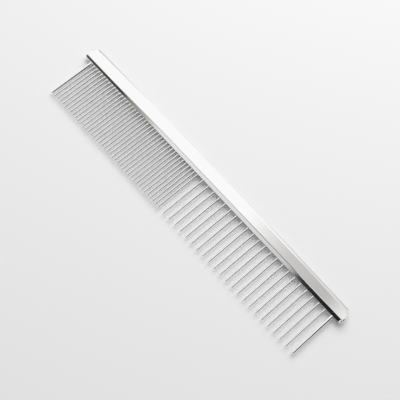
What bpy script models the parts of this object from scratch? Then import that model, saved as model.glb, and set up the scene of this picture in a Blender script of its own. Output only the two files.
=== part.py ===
# Steel grooming comb with a fine and a coarse half, lying on its broad side.
# Metres, +Z up. The spine runs along X with the fine half at -X, and the teeth point to -Y.
# The origin is under the middle of the comb, on the surface that it lies on.
import math

import bmesh
import bpy
from mathutils import Matrix, Vector

# Teeth: round pins in one row
FINE_PINS = 40                 # without the guard pin
COARSE_PINS = 22               # without the guard pin
FINE_PITCH = 0.00208           # centre to centre
COARSE_PITCH = 0.00416
PIN_LENGTH = 0.0267            # from the spine's seat face to the tip
PIN_ROOT_DIAMETER = 0.00115
PIN_TIP_DIAMETER = 0.00085
GUARD_ROOT_DIAMETER = 0.0019   # the thicker pin at each end of the row
GUARD_TIP_DIAMETER = 0.0014
SEAT_DEPTH = 0.0045            # length of pin held inside the spine
PIN_CLEARANCE = 0.00015        # between a pin and its hole, at the wall and at the bottom

# Spine: a bevelled bar with a rounded back
SPINE_DEPTH = 0.0091           # from the seat face to the back, at the middle
SPINE_THICKNESS = 0.005
END_MARGIN = 0.0055            # from a guard pin's axis to the end of the spine
SEAT_LAND = 0.0001             # left above and below a pin's hole, up to the bevel
SEAT_EDGE_EASE = 0.00008       # how far the edge between seat face and bevel is eased
FRONT_BEVEL_RUN = 0.0016       # depth of the bevel between the seat face and a broad face
FACE_EDGE_EASE = 0.00045       # how far the edge between bevel and broad face is eased
BACK_ROUND_RUN = 0.0023        # depth of the back's rounding, at the middle
BACK_ROUND_GROWTH = 0.0009     # how much deeper that rounding gets towards the ends
BACK_LAND = 0.0006             # upright strip left along the back
BACK_CROWN = 0.0005            # the back is lower by this much at the ends
CORNER_CUT_ALONG = 0.003       # the cut back corners, along the spine
CORNER_CUT_ACROSS = 0.0042     # and across it
CORNER_KNEE = 0.0014           # how far each knee of that cut is taken off
FRONT_CORNER_CUT = 0.0019      # how far each corner by the teeth is taken off
END_ROUND = 0.0008             # rounding round the ends, inwards and down

# How finely the round forms are faceted
PIN_SIDES = 12
TIP_STEPS = 3
EASE_STEPS = 3
CORNER_STEPS = 5
BACK_STEPS = 18
SHARP_ANGLE = math.radians(32)
MERGE_DISTANCE = 1e-6

PIECE_LIMIT = 60               # pins past this many pieces stay in one piece with the spine

# What follows from those sizes
FINE_GUARD_GAP = FINE_PITCH + (GUARD_ROOT_DIAMETER - PIN_ROOT_DIAMETER) / 2
COARSE_GUARD_GAP = COARSE_PITCH + (GUARD_ROOT_DIAMETER - PIN_ROOT_DIAMETER) / 2
FINE_ROW = (FINE_PINS - 1) * FINE_PITCH
COARSE_ROW = COARSE_PINS * COARSE_PITCH      # with the gap between the two halves
ROW_LENGTH = FINE_GUARD_GAP + FINE_ROW + COARSE_ROW + COARSE_GUARD_GAP
SPINE_LENGTH = ROW_LENGTH + 2 * END_MARGIN
SPINE_END = SPINE_LENGTH / 2
SEAT_HEIGHT = PIN_ROOT_DIAMETER + 2 * PIN_CLEARANCE + 2 * SEAT_LAND   # guard holes reach the bevels
SEAT_Y = (PIN_LENGTH - SPINE_DEPTH) / 2      # centres the comb on the origin
PIN_Z = SPINE_THICKNESS / 2
FUSED_PINS = max(0, FINE_PINS + COARSE_PINS + 3 - PIECE_LIMIT)


def clear_scene():
    for item in list(bpy.data.objects):
        bpy.data.objects.remove(item, do_unlink=True)


def make_material(name, color, roughness):
    material = bpy.data.materials.new(name)
    material.use_nodes = True
    shader = material.node_tree.nodes["Principled BSDF"]
    shader.inputs["Base Color"].default_value = (*color, 1.0)
    shader.inputs["Metallic"].default_value = 1.0
    shader.inputs["Roughness"].default_value = roughness
    return material


def finish_mesh(bm, name):
    bmesh.ops.recalc_face_normals(bm, faces=bm.faces)
    mesh = bpy.data.meshes.new(name)
    bm.to_mesh(mesh)
    bm.free()
    mesh.shade_smooth()
    mesh.set_sharp_from_angle(angle=SHARP_ANGLE)
    return mesh


def add_object(name, mesh, material, parent, location):
    item = bpy.data.objects.new(name, mesh)
    bpy.context.collection.objects.link(item)
    if material is not None:
        mesh.materials.clear()
        mesh.materials.append(material)
    item.parent = parent
    item.location = location
    return item


def add_helper(name, mesh, parent, location):
    helper = add_object(name, mesh, None, parent, location)
    helper.hide_render = True
    helper.display_type = 'WIRE'
    return helper


def turned_pin(bm, root_diameter, tip_diameter, x):
    # A pin on the line at x: straight in its hole, then tapering to a round tip
    tip_radius = tip_diameter / 2
    profile = [(0.0, SEAT_DEPTH), (root_diameter / 2, SEAT_DEPTH), (root_diameter / 2, 0.0)]
    for step in range(TIP_STEPS + 1):
        angle = math.radians(90) * step / TIP_STEPS
        profile.append((tip_radius * math.cos(angle), tip_radius * (1 - math.sin(angle)) - PIN_LENGTH))
    verts = [bm.verts.new((x + radius, along, 0.0)) for radius, along in profile]
    edges = [bm.edges.new(pair) for pair in zip(verts, verts[1:])]
    bmesh.ops.spin(bm, geom=verts + edges, cent=(x, 0, 0), axis=(0, 1, 0),
                   angle=math.tau, steps=PIN_SIDES, use_merge=True, use_duplicate=False)
    bmesh.ops.remove_doubles(bm, verts=bm.verts, dist=MERGE_DISTANCE)


def pin_mesh(name, root_diameter, tip_diameter, places=(0.0,)):
    bm = bmesh.new()
    for x in places:
        turned_pin(bm, root_diameter, tip_diameter, x)
    return finish_mesh(bm, name)


def pin_places():
    # Name, x and root diameter of every pin, from the fine end to the coarse end
    x = END_MARGIN - SPINE_END
    places = [("fine_guard_pin", x, GUARD_ROOT_DIAMETER)]
    x += FINE_GUARD_GAP
    for number in range(FINE_PINS):
        places.append((f"fine_pin_{number + 1:02d}", x + number * FINE_PITCH, PIN_ROOT_DIAMETER))
    x += FINE_ROW
    for number in range(1, COARSE_PINS + 1):
        places.append((f"coarse_pin_{number:02d}", x + number * COARSE_PITCH, PIN_ROOT_DIAMETER))
    x += COARSE_ROW + COARSE_GUARD_GAP
    places.append(("coarse_guard_pin", x, GUARD_ROOT_DIAMETER))
    return places


def split_places(places):
    # The last fine pins are the ones that stay in one piece with the spine
    first = 1 + FINE_PINS - FUSED_PINS
    fused = places[first:first + FUSED_PINS]
    return [place for place in places if place not in fused], fused


def back_line(x):
    return SPINE_DEPTH - BACK_CROWN * (x / SPINE_END) ** 2


def back_round_run(x):
    return BACK_ROUND_RUN + BACK_ROUND_GROWTH * abs(x / SPINE_END) ** 6


def corner_path(corners, cuts, steps):
    # A path round the inner corners, each taken off by a curve that starts and ends its cut away.
    # A cut takes at most half of the shorter side next to it, so that two cuts never meet
    path = []
    for before, corner, after, cut in zip(corners, corners[1:], corners[2:], cuts):
        reach = min(cut, (before - corner).length / 2, (after - corner).length / 2)
        start = corner + (before - corner).normalized() * reach
        end = corner + (after - corner).normalized() * reach
        for step in range(steps + 1):
            share = step / steps
            path.append(start.lerp(corner, share).lerp(corner.lerp(end, share), share))
    return path


def outer_path():
    # Plan of one end from the seat face round to the back, at the spine's widest
    low = back_line(SPINE_END) - CORNER_CUT_ACROSS
    knee_x = SPINE_END - CORNER_CUT_ALONG
    next_x = knee_x - CORNER_CUT_ALONG
    corners = [Vector((0, 0)), Vector((SPINE_END, 0)), Vector((SPINE_END, low)),
               Vector((knee_x, back_line(knee_x))), Vector((next_x, back_line(next_x)))]
    return corner_path(corners, (FRONT_CORNER_CUT, CORNER_KNEE, CORNER_KNEE), CORNER_STEPS)


def face_path():
    # The same stretch round the broad face, inside the bevel and the roundings
    slant = Vector((-CORNER_CUT_ALONG, CORNER_CUT_ACROSS)).normalized()
    end_x = SPINE_END - END_ROUND
    low = back_line(SPINE_END) - CORNER_CUT_ACROSS - END_ROUND * (1 - slant.y) / -slant.x
    back = back_line(end_x) - back_round_run(end_x)
    knee_x = end_x + (back - low) * slant.x / slant.y
    corners = [Vector((0, FRONT_BEVEL_RUN)), Vector((end_x, FRONT_BEVEL_RUN)), Vector((end_x, low)),
               Vector((knee_x, back)), Vector((knee_x - CORNER_CUT_ALONG, back))]
    return corner_path(corners, (END_ROUND, END_ROUND, END_ROUND), CORNER_STEPS)


def end_stations():
    # Each place round one end: outline point, face point, top of the upright wall, roundness
    half = SPINE_THICKNESS / 2
    outer = outer_path()
    last = len(outer) - 1
    stations = []
    for number, (wide, narrow) in enumerate(zip(outer, face_path())):
        roundness = min(1.0, number / CORNER_STEPS)
        towards_back = max(0.0, (number - 2 * CORNER_STEPS - 1) / (last - 2 * CORNER_STEPS - 1))
        wall = SEAT_HEIGHT / 2 * (1 - roundness) + (half - END_ROUND) * roundness
        wall += (BACK_LAND / 2 - wall) * towards_back
        stations.append((wide, narrow, wall, roundness))
    return stations


def back_stations(start, stop):
    # The back between the two ends, with its low crown; places stand closer towards the ends
    stations = []
    for number in range(1, BACK_STEPS):
        share = math.cos(math.pi * number / BACK_STEPS)
        wide_x = start.x * share
        narrow_x = stop.x * share
        wide = Vector((wide_x, back_line(wide_x)))
        narrow = Vector((narrow_x, back_line(narrow_x) - back_round_run(narrow_x)))
        stations.append((wide, narrow, BACK_LAND / 2, 1.0))
    return stations


def spine_stations():
    right = end_stations()
    mirror = Vector((-1, 1))
    left = []
    for wide, narrow, wall, roundness in reversed(right):
        left.append((wide * mirror, narrow * mirror, wall, roundness))
    return right + back_stations(right[-1][0], right[-1][1]) + left


def bevel_profile():
    # The bevel at the teeth with both its edges eased, as shares of its run and its rise
    rise = (SPINE_THICKNESS - SEAT_HEIGHT) / 2
    corners = [Vector((0, -rise)), Vector((0, 0)),
               Vector((FRONT_BEVEL_RUN, rise)), Vector((2 * FRONT_BEVEL_RUN, rise))]
    eased = corner_path(corners, (SEAT_EDGE_EASE, FACE_EDGE_EASE), EASE_STEPS)
    return [Vector((point.x / FRONT_BEVEL_RUN, point.y / rise)) for point in eased]


def round_profile(count):
    # A quarter of an ellipse, for the ends and the back, as shares of its run and its rise
    angles = [math.radians(90) * step / (count - 1) for step in range(count)]
    return [Vector((1 - math.cos(angle), math.sin(angle))) for angle in angles]


def spine_ring(bm, stations, bevel, curve, side):
    # One closed outline between the wall and a broad face
    verts = []
    for wide, narrow, wall, roundness in stations:
        share = bevel.lerp(curve, roundness)
        place = wide + (narrow - wide) * share.x
        height = wall + (SPINE_THICKNESS / 2 - wall) * share.y
        verts.append(bm.verts.new((place.x, place.y, side * height)))
    return [bm.edges.new(pair) for pair in zip(verts, verts[1:] + verts[:1])]


def spine_mesh():
    bm = bmesh.new()
    stations = spine_stations()
    bevel = bevel_profile()
    levels = list(zip(bevel, round_profile(len(bevel))))
    rings = [spine_ring(bm, stations, straight, curve, 1) for straight, curve in reversed(levels)]
    rings += [spine_ring(bm, stations, straight, curve, -1) for straight, curve in levels]
    for ring, following in zip(rings, rings[1:]):
        bmesh.ops.bridge_loops(bm, edges=ring + following)
    bmesh.ops.holes_fill(bm, edges=rings[0] + rings[-1])
    return finish_mesh(bm, "spine")


def hole_mesh(places):
    # Blind holes: each as wide as its pin with the clearance round it and past its end
    bm = bmesh.new()
    depth = SEAT_DEPTH + PIN_CLEARANCE
    over = FRONT_BEVEL_RUN
    for _, x, diameter in places:
        turn = Matrix.Rotation(math.radians(90), 4, 'X')
        place = Matrix.Translation((x, (depth - over) / 2, 0))
        bmesh.ops.create_cone(bm, cap_ends=True, segments=PIN_SIDES, radius1=diameter / 2 + PIN_CLEARANCE,
                              radius2=diameter / 2 + PIN_CLEARANCE, depth=depth + over, matrix=place @ turn)
    return finish_mesh(bm, "pin_holes")


def add_boolean(item, other, operation):
    modifier = item.modifiers.new(other.name, 'BOOLEAN')
    modifier.operation = operation
    modifier.solver = 'EXACT'
    modifier.object = other


def apply_modifiers(item):
    # The rims of the holes and the roots of the fused pins exist only now, and become sharp edges
    helpers = [modifier.object for modifier in item.modifiers if modifier.type == 'BOOLEAN']
    evaluated = item.evaluated_get(bpy.context.evaluated_depsgraph_get())
    item.data = bpy.data.meshes.new_from_object(evaluated)
    item.data.set_sharp_from_angle(angle=SHARP_ANGLE)
    item.modifiers.clear()
    for helper in helpers:
        bpy.data.objects.remove(helper, do_unlink=True)


def add_spine(row, separate, fused, material):
    spine = add_object("spine", spine_mesh(), material, row, (0, 0, 0))
    add_boolean(spine, add_helper("pin_holes", hole_mesh(separate), row, (0, 0, 0)), 'DIFFERENCE')
    if fused:
        mesh = pin_mesh("fused_pins", PIN_ROOT_DIAMETER, PIN_TIP_DIAMETER, [x for _, x, _ in fused])
        add_boolean(spine, add_helper("fused_pins", mesh, row, (0, 0, 0)), 'UNION')
    apply_modifiers(spine)
    shading = spine.modifiers.new("even_shading", 'WEIGHTED_NORMAL')
    shading.keep_sharp = True


def add_pins(row, separate, material):
    plain = pin_mesh("pin", PIN_ROOT_DIAMETER, PIN_TIP_DIAMETER)
    guard = pin_mesh("guard_pin", GUARD_ROOT_DIAMETER, GUARD_TIP_DIAMETER)
    for name, x, diameter in separate:
        mesh = guard if diameter == GUARD_ROOT_DIAMETER else plain
        add_object(name, mesh, material, row, (x, 0, 0))


def build():
    clear_scene()
    chrome = make_material("polished_chrome", (0.86, 0.86, 0.87), 0.08)
    steel = make_material("pin_steel", (0.74, 0.75, 0.77), 0.2)
    row = bpy.data.objects.new("tooth_row", None)
    bpy.context.collection.objects.link(row)
    row.location = (0, SEAT_Y, PIN_Z)
    separate, fused = split_places(pin_places())
    add_spine(row, separate, fused, chrome)
    add_pins(row, separate, steel)


build()
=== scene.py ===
import math
import bpy
import bmesh
from mathutils import Matrix, Vector


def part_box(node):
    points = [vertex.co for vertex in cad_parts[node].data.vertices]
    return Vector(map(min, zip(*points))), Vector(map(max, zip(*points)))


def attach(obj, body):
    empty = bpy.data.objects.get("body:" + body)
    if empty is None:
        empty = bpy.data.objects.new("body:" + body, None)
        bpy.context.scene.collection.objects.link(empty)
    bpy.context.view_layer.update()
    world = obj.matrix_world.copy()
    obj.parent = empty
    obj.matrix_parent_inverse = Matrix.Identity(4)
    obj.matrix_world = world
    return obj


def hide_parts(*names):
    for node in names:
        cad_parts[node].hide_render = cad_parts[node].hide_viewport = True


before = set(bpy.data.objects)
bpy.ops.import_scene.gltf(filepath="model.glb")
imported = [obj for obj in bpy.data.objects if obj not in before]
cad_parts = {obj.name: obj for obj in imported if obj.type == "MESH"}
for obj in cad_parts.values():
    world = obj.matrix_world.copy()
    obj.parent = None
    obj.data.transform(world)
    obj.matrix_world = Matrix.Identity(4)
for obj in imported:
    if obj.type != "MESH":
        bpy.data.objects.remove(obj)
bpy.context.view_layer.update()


def outlineCurve(corners, cuts, steps):
    # takes each inner corner off with a curve that starts and ends its cut away from it
    path = []
    for before, corner, after, cut in zip(corners, corners[1:], corners[2:], cuts):
        start = corner + (before - corner).normalized() * cut
        end = corner + (after - corner).normalized() * cut
        for step in range(steps + 1):
            share = step / steps
            path.append(start.lerp(corner, share).lerp(corner.lerp(end, share), share))
    return path


def closedRing(bm, places):
    verts = [bm.verts.new(place) for place in places]
    return [bm.edges.new(pair) for pair in zip(verts, verts[1:] + verts[:1])]


def meshObject(bm, name, sharpAngle):
    bmesh.ops.recalc_face_normals(bm, faces=bm.faces)
    mesh = bpy.data.meshes.new(name)
    bm.to_mesh(mesh)
    bm.free()
    mesh.shade_smooth()
    mesh.set_sharp_from_angle(angle=math.radians(sharpAngle))
    item = bpy.data.objects.new(name, mesh)
    bpy.context.collection.objects.link(item)
    return item


def easeInOut(share):
    return share * share * (3 - 2 * share)


pins = {
    "sides": 28,
    "tipSteps": 7,
    "taperRings": 6,
    "footBevel": 0.2,           # of the radius, at the end hidden in the hole
    "rootDiameter": 0.00115,
    "tipDiameter": 0.00085,
    "guardTipDiameter": 0.0014,
    "finePins": 40,
    "sharpAngle": 40,
    "mergeDistance": 1e-6,
}


def pinPlaces():
    # piece name, CAD node it stands for, x and root radius, from the CAD pins in the frame
    places = []
    for node in sorted(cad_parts):
        if not node.startswith(("fine", "coarse")):
            continue
        low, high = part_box(node)
        words = node.split("_")
        name = words[0] + "".join(word.capitalize() for word in words[1:])
        places.append((name, node, (low.x + high.x) / 2, (high.x - low.x) / 2))
    fine = sorted(place for place in places if place[1].startswith("fine_pin"))
    pitch = fine[1][2] - fine[0][2]
    for number in range(len(fine) + 1, pins["finePins"] + 1):   # the ones that the CAD spine carries
        x = fine[-1][2] + (number - len(fine)) * pitch
        places.append((f"finePin{number:02d}", "spine", x, pins["rootDiameter"] / 2))
    return sorted(places, key=lambda place: place[2])


def makePin(name, node, x, radius):
    low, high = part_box("fine_pin_01")
    axisZ = (low.z + high.z) / 2
    seat = spine["seat"]
    foot = radius * pins["footBevel"]
    tipRadius = (pins["guardTipDiameter"] if "Guard" in name else pins["tipDiameter"]) / 2
    profile = [(0.0, high.y), (radius - foot, high.y), (radius, high.y - foot), (radius, seat)]
    shoulder = low.y + tipRadius
    for ring in range(1, pins["taperRings"]):
        share = ring / pins["taperRings"]
        profile.append((radius + (tipRadius - radius) * share, seat + (shoulder - seat) * share))
    for step in range(pins["tipSteps"] + 1):
        angle = math.radians(90) * step / pins["tipSteps"]
        profile.append((tipRadius * math.cos(angle), shoulder - tipRadius * math.sin(angle)))
    bm = bmesh.new()
    verts = [bm.verts.new((x + across, along, axisZ)) for across, along in profile]
    edges = [bm.edges.new(pair) for pair in zip(verts, verts[1:])]
    bmesh.ops.spin(bm, geom=verts + edges, cent=(x, 0, axisZ), axis=(0, 1, 0), angle=math.tau,
                   steps=pins["sides"], use_merge=True, use_duplicate=False)
    bmesh.ops.remove_doubles(bm, verts=bm.verts, dist=pins["mergeDistance"])
    pin = meshObject(bm, name, pins["sharpAngle"])
    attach(pin, "root")
    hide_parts(node)
    return pin


spine = {
    "depth": 0.0091,            # seat face to the back, at the middle
    "seatHeight": 0.00165,
    "seatEase": 0.00008,        # along the edge between seat face and bevel
    "bevelRun": 0.0016,
    "faceEase": 0.00045,        # along the edge between bevel and broad face
    "shallower": 0.32,          # share of the bevel that isn't ground away at the fine end
    "shallowFrom": -0.025,
    "shallowTo": -0.075,
    "backRun": 0.0023,
    "backRunGrowth": 0.0009,    # added to it at the ends
    "growthPower": 6,           # the higher, the nearer to the ends it starts
    "backLand": 0.0006,
    "backCrown": 0.0005,
    "cornerAlong": 0.003,
    "cornerAcross": 0.0042,
    "knee": 0.0014,
    "frontCornerCut": 0.0019,
    "endRound": 0.0008,
    "holeClearance": 0.00003,
    "holeFloor": 0.00005,       # space past the end of a pin
    "drillStart": 0.003,        # how far before the seat face a drill starts
    "holeSides": 28,
    "cornerSteps": 12,
    "edgeSteps": 6,
    "backSteps": 44,
    "frontSteps": 40,
    "sharpAngle": 35,
}
spineLow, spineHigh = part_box("spine")
spine["end"] = spineHigh.x
spine["seat"] = spineHigh.y - spine["depth"]
spine["half"] = (spineHigh.z - spineLow.z) / 2


def backLine(x):
    return spine["depth"] - spine["backCrown"] * (x / spine["end"]) ** 2


def backRun(x):
    return spine["backRun"] + spine["backRunGrowth"] * abs(x / spine["end"]) ** spine["growthPower"]


def bevelLess(x):
    # how much of the bevel is missing at x, because it was ground less deep towards the fine end
    start, stop = spine["shallowFrom"], spine["shallowTo"]
    return spine["shallower"] * easeInOut(min(1.0, max(0.0, (x - start) / (stop - start))))


def widePath():
    # plan of one end from the seat face round to the back, at its widest
    end, along = spine["end"], spine["cornerAlong"]
    low = backLine(end) - spine["cornerAcross"]
    kneeX = end - along
    corners = [Vector((0, 0)), Vector((end, 0)), Vector((end, low)), Vector((kneeX, backLine(kneeX))),
               Vector((kneeX - along, backLine(kneeX - along)))]
    cuts = (spine["frontCornerCut"], spine["knee"], spine["knee"])
    return outlineCurve(corners, cuts, spine["cornerSteps"])


def facePath():
    # the same stretch round the flat broad face
    slant = Vector((-spine["cornerAlong"], spine["cornerAcross"])).normalized()
    endRound = spine["endRound"]
    endX = spine["end"] - endRound
    low = backLine(spine["end"]) - spine["cornerAcross"] - endRound * (1 - slant.y) / -slant.x
    back = backLine(endX) - backRun(endX)
    kneeX = endX + (back - low) * slant.x / slant.y
    front = spine["bevelRun"]
    corners = [Vector((0, front)), Vector((endX, front)), Vector((endX, low)), Vector((kneeX, back)),
               Vector((kneeX - spine["cornerAlong"], back))]
    return outlineCurve(corners, (endRound, endRound, endRound), spine["cornerSteps"])


def spineStations():
    # widest point, face point, height where the upright wall ends, roundness from bevel to ellipse
    half, steps = spine["half"], spine["cornerSteps"]
    wide, face = widePath(), facePath()
    last = len(wide) - 1
    right = []
    for number in range(last + 1):
        roundness = easeInOut(min(1.0, number / steps))
        wall = spine["seatHeight"] / 2 * (1 - roundness) + (half - spine["endRound"]) * roundness
        toBack = easeInOut(max(0.0, (number - 2 * steps - 1) / (last - 2 * steps - 1)))
        wall += (spine["backLand"] / 2 - wall) * toBack
        right.append((wide[number], face[number], wall, roundness))
    back = []
    for number in range(1, spine["backSteps"]):
        share = math.cos(math.pi * number / spine["backSteps"])
        wideX, faceX = wide[-1].x * share, face[-1].x * share
        back.append((Vector((wideX, backLine(wideX))), Vector((faceX, backLine(faceX) - backRun(faceX))),
                     spine["backLand"] / 2, 1.0))
    turn = Vector((-1, 1))
    left = [(a * turn, b * turn, wall, roundness) for a, b, wall, roundness in reversed(right)]
    front = []
    for number in range(1, spine["frontSteps"]):
        share = 2 * number / spine["frontSteps"] - 1
        front.append((Vector((wide[0].x * share, 0)), Vector((face[0].x * share, spine["bevelRun"])),
                      spine["seatHeight"] / 2, 0.0))
    stations = []
    for widest, narrow, wall, roundness in right + back + left + front:
        less = bevelLess(widest.x) * (1 - roundness)
        stations.append((widest, narrow - Vector((0, spine["bevelRun"] * less)), wall + (half - wall) * less,
                         roundness))
    return stations


def bevelProfile():
    # the bevel at the teeth with both its edges eased, as shares of its run and of its rise
    run, rise = spine["bevelRun"], spine["half"] - spine["seatHeight"] / 2
    corners = [Vector((0, -rise)), Vector((0, 0)), Vector((run, rise)), Vector((2 * run, rise))]
    eased = outlineCurve(corners, (spine["seatEase"], spine["faceEase"]), spine["edgeSteps"])
    return [Vector((point.x / run, point.y / rise)) for point in eased]


def spineRing(bm, stations, flat, step, count, side):
    angle = math.radians(90) * step / (count - 1)
    curved = Vector((1 - math.cos(angle), math.sin(angle)))
    places = []
    for wide, face, wall, roundness in stations:
        way = flat.lerp(curved, roundness)
        place = wide + (face - wide) * way.x
        height = wall + (spine["half"] - wall) * way.y
        places.append((place.x, place.y + spine["seat"], spine["half"] + side * height))
    return closedRing(bm, places)


def drilledHoles(places):
    low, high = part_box("fine_pin_01")
    bm = bmesh.new()
    bottom = high.y + spine["holeFloor"]
    top = spine["seat"] - spine["drillStart"]
    turn = Matrix.Rotation(math.radians(90), 4, 'X')
    for _, _, x, radius in places:
        spot = Matrix.Translation((x, (bottom + top) / 2, spine["half"])) @ turn
        size = radius + spine["holeClearance"]
        bmesh.ops.create_cone(bm, cap_ends=True, segments=spine["holeSides"], radius1=size, radius2=size,
                              depth=bottom - top, matrix=spot)
    return meshObject(bm, "drills", spine["sharpAngle"])


def makeSpine(places):
    stations = spineStations()
    profile = bevelProfile()
    count = len(profile)
    bm = bmesh.new()
    rings = [spineRing(bm, stations, profile[step], step, count, 1) for step in range(count - 1, -1, -1)]
    rings += [spineRing(bm, stations, profile[step], step, count, -1) for step in range(count)]
    for ring, following in zip(rings, rings[1:]):
        bmesh.ops.bridge_loops(bm, edges=ring + following)
    bmesh.ops.holes_fill(bm, edges=rings[0] + rings[-1])
    bar = meshObject(bm, "spineBar", spine["sharpAngle"])
    drills = drilledHoles(places)
    cut = bar.modifiers.new("drilled", 'BOOLEAN')
    cut.operation = 'DIFFERENCE'
    cut.solver = 'EXACT'
    cut.object = drills
    bar.data = bpy.data.meshes.new_from_object(bar.evaluated_get(bpy.context.evaluated_depsgraph_get()))
    bar.modifiers.clear()
    bpy.data.objects.remove(drills, do_unlink=True)
    bar.data.set_sharp_from_angle(angle=math.radians(spine["sharpAngle"]))
    shading = bar.modifiers.new("evenShading", 'WEIGHTED_NORMAL')
    shading.keep_sharp = True
    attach(bar, "root")
    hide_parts("spine")
    return bar


def addNode(tree, kind, place, **values):
    # a keyword is a setting of the node, or a socket with its spaces written as _
    made = tree.nodes.new(kind)
    made.location = place
    for key, value in values.items():
        if hasattr(made, key):
            setattr(made, key, value)
        else:
            made.inputs[key.replace("_", " ")].default_value = value
    return made


def addShare(tree, place, source, limits):
    # 0 up to the first limit, 1 from the second on
    made = addNode(tree, 'ShaderNodeMapRange', place, From_Min=limits[0], From_Max=limits[1])
    tree.links.new(source, made.inputs["Value"])
    return made


def addProduct(tree, place, first, second):
    made = addNode(tree, 'ShaderNodeMath', place, operation='MULTIPLY')
    tree.links.new(first, made.inputs[0])
    tree.links.new(second, made.inputs[1])
    return made.outputs[0]


mixSockets = {"FLOAT": (2, 3, 0), "RGBA": (6, 7, 2)}    # first input, second input, result


def addMix(tree, place, kind, factor, first, second):
    # first where the factor is 0, second where it is 1; a number or a colour may stand for a socket
    made = addNode(tree, 'ShaderNodeMix', place, data_type=kind)
    firstInput, secondInput, result = mixSockets[kind]
    tree.links.new(factor, made.inputs[0])
    for number, source in ((firstInput, first), (secondInput, second)):
        if isinstance(source, bpy.types.NodeSocket):
            tree.links.new(source, made.inputs[number])
        elif isinstance(source, tuple):
            made.inputs[number].default_value = (*source, 1)
        else:
            made.inputs[number].default_value = source
    return made.outputs[result]


polishing = {
    "lineScale": 1.0,           # on coordinates that a finish has stretched
    "lineDetail": 5.0,
    "lineRoughness": 0.65,
    "smudgeScale": 0.02,
    "smudgeDetail": 3.0,
    "smudgeRoughness": 0.55,
    "wornRange": (0.35, 0.7),   # noise from the smoothest place to the most worn
    "toneRange": (0.3, 0.7),    # noise from the bright colour to the dull one
    "lineHeight": 0.00001,
}


def polishGroup():
    # long fine polishing lines with soft smudges over them
    group = bpy.data.node_groups.new("polishLines", 'ShaderNodeTree')
    group.interface.new_socket("Vector", in_out='INPUT', socket_type='NodeSocketVector')
    for socket in ("Smooth", "Worn", "Lines"):
        group.interface.new_socket(socket, in_out='INPUT', socket_type='NodeSocketFloat')
    for socket in ("Roughness", "Height", "Tone"):
        group.interface.new_socket(socket, in_out='OUTPUT', socket_type='NodeSocketFloat')
    taken = addNode(group, 'NodeGroupInput', (-800, 0))
    lines = addNode(group, 'ShaderNodeTexNoise', (-560, 140), Scale=polishing["lineScale"],
                    Detail=polishing["lineDetail"], Roughness=polishing["lineRoughness"])
    smudge = addNode(group, 'ShaderNodeTexNoise', (-560, -140), Scale=polishing["smudgeScale"],
                     Detail=polishing["smudgeDetail"], Roughness=polishing["smudgeRoughness"])
    mixed = addMix(group, (-320, 0), 'FLOAT', taken.outputs["Lines"], smudge.outputs["Fac"],
                   lines.outputs["Fac"])
    spread = addShare(group, (-140, 40), mixed, polishing["wornRange"])
    tone = addShare(group, (-140, -240), mixed, polishing["toneRange"])
    given = addNode(group, 'NodeGroupOutput', (80, 0))
    link = group.links.new
    for noise in (lines, smudge):
        link(taken.outputs["Vector"], noise.inputs["Vector"])
    link(taken.outputs["Smooth"], spread.inputs["To Min"])
    link(taken.outputs["Worn"], spread.inputs["To Max"])
    link(spread.outputs["Result"], given.inputs["Roughness"])
    link(lines.outputs["Fac"], given.inputs["Height"])
    link(tone.outputs["Result"], given.inputs["Tone"])
    return group


finishes = {
    "polishedChrome": {"bright": (0.985, 0.985, 0.983), "dull": (0.945, 0.945, 0.945),
                       "stretch": (150, 2600, 2600), "smooth": 0.03, "worn": 0.08, "lines": 0.4,
                       "bump": 0.06},
    "pinSteel": {"bright": (0.98, 0.983, 0.987), "dull": (0.92, 0.925, 0.93),
                 "stretch": (3000, 200, 3000), "smooth": 0.04, "worn": 0.1, "lines": 0.5, "bump": 0.06},
}
# painted shade on the seat face between the pins: a darker colour for the shade there, with a higher
# roughness
seatShadeAndRoughness = {"color": (0.5, 0.5, 0.505), "roughness": 0.35, "fade": 0.00016,
              "brightTo": -0.06, "dullFrom": -0.04}     # along the spine, in x


def metalMaterial(name, group):
    finish = finishes[name]
    material = bpy.data.materials.new(name)
    material.use_nodes = True
    tree = material.node_tree
    shader = tree.nodes["Principled BSDF"]
    shader.inputs["Metallic"].default_value = 1.0
    where = addNode(tree, 'ShaderNodeTexCoord', (-900, 0))
    scaled = addNode(tree, 'ShaderNodeMapping', (-700, 0), Scale=finish["stretch"])
    polish = addNode(tree, 'ShaderNodeGroup', (-480, 0), node_tree=group, Smooth=finish["smooth"],
                     Worn=finish["worn"], Lines=finish["lines"])
    colour = addMix(tree, (-240, 160), 'RGBA', polish.outputs["Tone"], finish["bright"], finish["dull"])
    raised = addNode(tree, 'ShaderNodeBump', (-240, -160), Strength=finish["bump"],
                     Distance=polishing["lineHeight"])
    link = tree.links.new
    link(where.outputs["Object"], scaled.inputs["Vector"])
    link(scaled.outputs["Vector"], polish.inputs["Vector"])
    link(colour, shader.inputs["Base Color"])
    link(polish.outputs["Roughness"], shader.inputs["Roughness"])
    link(polish.outputs["Height"], raised.inputs["Height"])
    link(raised.outputs["Normal"], shader.inputs["Normal"])
    return material


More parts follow.
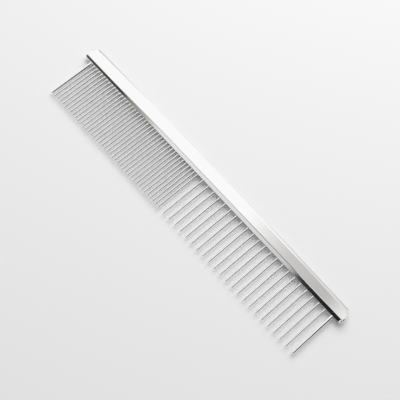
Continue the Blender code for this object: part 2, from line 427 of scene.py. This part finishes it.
def shadeAndRoughenSeat(material):
    # painted shade: the seat face between the pins is darkened in colour for the shade that falls between
    # them, and made rougher than the rest, apart from the fine end
    tree = material.node_tree
    shader = tree.nodes["Principled BSDF"]
    where = addNode(tree, 'ShaderNodeTexCoord', (-900, 460))
    parts = addNode(tree, 'ShaderNodeSeparateXYZ', (-700, 460))
    tree.links.new(where.outputs["Object"], parts.inputs["Vector"])
    onSeat = addShare(tree, (-480, 460), parts.outputs["Y"],
                      (spine["seat"] + seatShadeAndRoughness["fade"], spine["seat"]))
    alongSpine = addShare(tree, (-480, 720), parts.outputs["X"],
                          (seatShadeAndRoughness["brightTo"], seatShadeAndRoughness["dullFrom"]))
    shadedAndRough = addProduct(tree, (-260, 560), onSeat.outputs["Result"], alongSpine.outputs["Result"])
    for place, kind, name, value in (((-40, 260), 'RGBA', "Base Color", seatShadeAndRoughness["color"]),
                                     ((-40, 20), 'FLOAT', "Roughness", seatShadeAndRoughness["roughness"])):
        socket = shader.inputs[name]
        tree.links.new(addMix(tree, place, kind, shadedAndRough, socket.links[0].from_socket, value), socket)


studio = {
    "floorColor": (0.885, 0.885, 0.89),
    "floorSize": 6.0,
    "floorRoughness": 0.9,
    "floorSpecular": 0.1,
    "floorSharpAngle": 30,
    "ambient": 0.4,
    "keyFrom": (-0.22, 0.42, 0.71),
    "keySize": 0.85,
    "keyPower": 6.25,
}


def makeFloor():
    bm = bmesh.new()
    bmesh.ops.create_grid(bm, x_segments=1, y_segments=1, size=studio["floorSize"] / 2)
    floor = meshObject(bm, "floor", studio["floorSharpAngle"])
    material = bpy.data.materials.new("paleTable")
    material.use_nodes = True
    shader = material.node_tree.nodes["Principled BSDF"]
    shader.inputs["Roughness"].default_value = studio["floorRoughness"]
    shader.inputs["Specular IOR Level"].default_value = studio["floorSpecular"]
    shader.inputs["Base Color"].default_value = (*studio["floorColor"], 1)
    floor.data.materials.append(material)


displayGamma = 2.2
warmGreen = 0.4         # of what a warm grey loses in blue, the share that it loses in green


def grey(level, warm=0.0):
    # linear colour from an 8-bit level; warm is the share of the blue that it loses
    value = (level / 255) ** displayGamma
    return (value, value * (1 - warmGreen * warm), value * (1 - warm))


def addRamp(tree, place, stops):
    # stops are (direction value from -1 to 1, linear colour)
    made = addNode(tree, 'ShaderNodeValToRGB', place)
    elements = made.color_ramp.elements
    while len(elements) > 1:
        elements.remove(elements[-1])
    for number, (value, color) in enumerate(stops):
        position = (value + 1) / 2
        element = elements[0] if number == 0 else elements.new(position)
        element.position = position
        element.color = (*color, 1)
    return made


# what the bright metal sees round it, as a few soft panels with dark gaps between them. Ramps go by
# the direction's x, apart from stripReach, which says how far in y the strip between teethSide and
# overhead reaches
room = {
    "overhead": [(-1.0, grey(245)), (-0.6, grey(252)), (-0.18, grey(254)), (-0.12, grey(204, 0.04)),
                 (-0.05, grey(184, 0.04)), (-0.025, grey(243, 0.03)), (0.35, grey(240)),
                 (0.55, grey(205)), (1.0, grey(170))],
    "teethSide": [(-1.0, grey(190)), (-0.45, grey(90, 0.2)), (-0.37, grey(50, 0.25)),
                  (-0.36, grey(135, 0.15)), (-0.325, grey(178, 0.1)), (-0.315, grey(230)),
                  (-0.17, grey(220)), (-0.103, grey(198)), (-0.098, grey(40)), (0.3, grey(35)),
                  (0.6, grey(150)), (1.0, grey(190))],
    "strip": [(-1.0, grey(250)), (-0.4, grey(245)), (-0.35, grey(165)), (-0.2, grey(155)),
              (-0.165, grey(30)), (-0.1, grey(25)), (-0.09, grey(238)), (1.0, grey(238))],
    "stripReach": [(-1.0, grey(0)), (-0.65, grey(0)), (-0.58, grey(255)), (-0.25, grey(255)),
                   (-0.12, grey(0)), (1.0, grey(0))],
    "backLow": [(-1.0, grey(185)), (-0.42, grey(190)), (-0.36, grey(252)), (-0.18, grey(252)),
                (-0.12, grey(190)), (1.0, grey(165))],
    "backHigh": [(-1.0, grey(254)), (-0.115, grey(254)), (-0.09, grey(225)), (1.0, grey(215))],
    "darkPanel": grey(45),          # low on the right, beside the teeth
    "darkFrom": (0.15, 0.35),       # in x
    "darkUpTo": (0.294, 0.284),     # in y
    "toTeeth": (-0.65, -0.5),       # in y, from teethSide to overhead
    "toBack": (0.34, 0.46),         # in y, from overhead to the back's panel
    "toHigh": (0.3, 0.5),           # in z, from backLow to backHigh
}


def makeWorld():
    world = bpy.data.worlds.new("studio")
    bpy.context.scene.world = world
    world.use_nodes = True
    tree = world.node_tree
    where = addNode(tree, 'ShaderNodeTexCoord', (-1800, 0))
    parts = addNode(tree, 'ShaderNodeSeparateXYZ', (-1600, 0))
    tree.links.new(where.outputs["Generated"], parts.inputs["Vector"])
    directions = {}
    for number, axis in enumerate("XY"):
        directions[axis] = addShare(tree, (-1400, 200 - 300 * number), parts.outputs[axis], (-1.0, 1.0))
    panels = {}
    for number, (name, axis) in enumerate((("overhead", "X"), ("teethSide", "X"), ("strip", "X"),
                                           ("backLow", "X"), ("backHigh", "X"), ("stripReach", "Y"))):
        ramp = addRamp(tree, (-1160, 600 - 260 * number), room[name])
        tree.links.new(directions[axis].outputs["Result"], ramp.inputs["Fac"])
        panels[name] = ramp.outputs["Color"]
    shares = {}
    for number, (name, axis) in enumerate((("toTeeth", "Y"), ("toBack", "Y"), ("toHigh", "Z"),
                                           ("darkFrom", "X"), ("darkUpTo", "Y"))):
        share = addShare(tree, (-860, 600 - 260 * number), parts.outputs[axis], room[name])
        shares[name] = share.outputs["Result"]
    dark = addProduct(tree, (-640, -300), shares["darkFrom"], shares["darkUpTo"])
    above = addMix(tree, (-440, 500), 'RGBA', dark, panels["overhead"], room["darkPanel"])
    front = addMix(tree, (-240, 400), 'RGBA', shares["toTeeth"], panels["teethSide"], above)
    edged = addMix(tree, (-40, 300), 'RGBA', panels["stripReach"], front, panels["strip"])
    behind = addMix(tree, (-240, -100), 'RGBA', shares["toHigh"], panels["backLow"], panels["backHigh"])
    pattern = addMix(tree, (160, 100), 'RGBA', shares["toBack"], edged, behind)
    path = addNode(tree, 'ShaderNodeLightPath', (340, 400))     # the pattern shows in reflections alone
    ambient = (studio["ambient"],) * 3
    light = addMix(tree, (560, 100), 'RGBA', path.outputs["Is Glossy Ray"], ambient, pattern)
    tree.links.new(light, tree.nodes["Background"].inputs["Color"])


def makeLamp():
    light = bpy.data.lights.new("key", 'AREA')
    light.shape = 'SQUARE'
    light.size = studio["keySize"]
    light.energy = studio["keyPower"]
    lamp = bpy.data.objects.new("key", light)
    bpy.context.collection.objects.link(lamp)
    lamp.location = studio["keyFrom"]
    lamp.rotation_euler = Vector(studio["keyFrom"]).to_track_quat('Z', 'Y').to_euler()
    lamp.visible_glossy = False


view = {
    "lens": 75.55,
    "sensor": 36,
    "clipStart": 0.01,
    "place": (0.1031, -0.1091, 0.3923),
    "turn": (20.59, -2.39, 48.19),
}


def makeCamera():
    data = bpy.data.cameras.new("view")
    data.lens = view["lens"]
    data.sensor_width = view["sensor"]
    data.clip_start = view["clipStart"]
    camera = bpy.data.objects.new("view", data)
    bpy.context.collection.objects.link(camera)
    camera.location = view["place"]
    camera.rotation_euler = [math.radians(angle) for angle in view["turn"]]
    bpy.context.scene.camera = camera


bpy.context.scene.view_settings.view_transform = 'Standard'
makeCamera()
makeWorld()
makeLamp()
makeFloor()
print("camera, light and floor are in place")

polish = polishGroup()
chrome = metalMaterial("polishedChrome", polish)
# paints shade on the chrome's seat face between the pins and makes it rougher there
shadeAndRoughenSeat(chrome)
steel = metalMaterial("pinSteel", polish)

places = pinPlaces()
bar = makeSpine(places)
bar.data.materials.append(chrome)
print("spine made:", len(bar.data.polygons), "faces")

for place in places:
    pin = makePin(*place)
    pin.data.materials.append(steel)
print("pins made:", len(places))
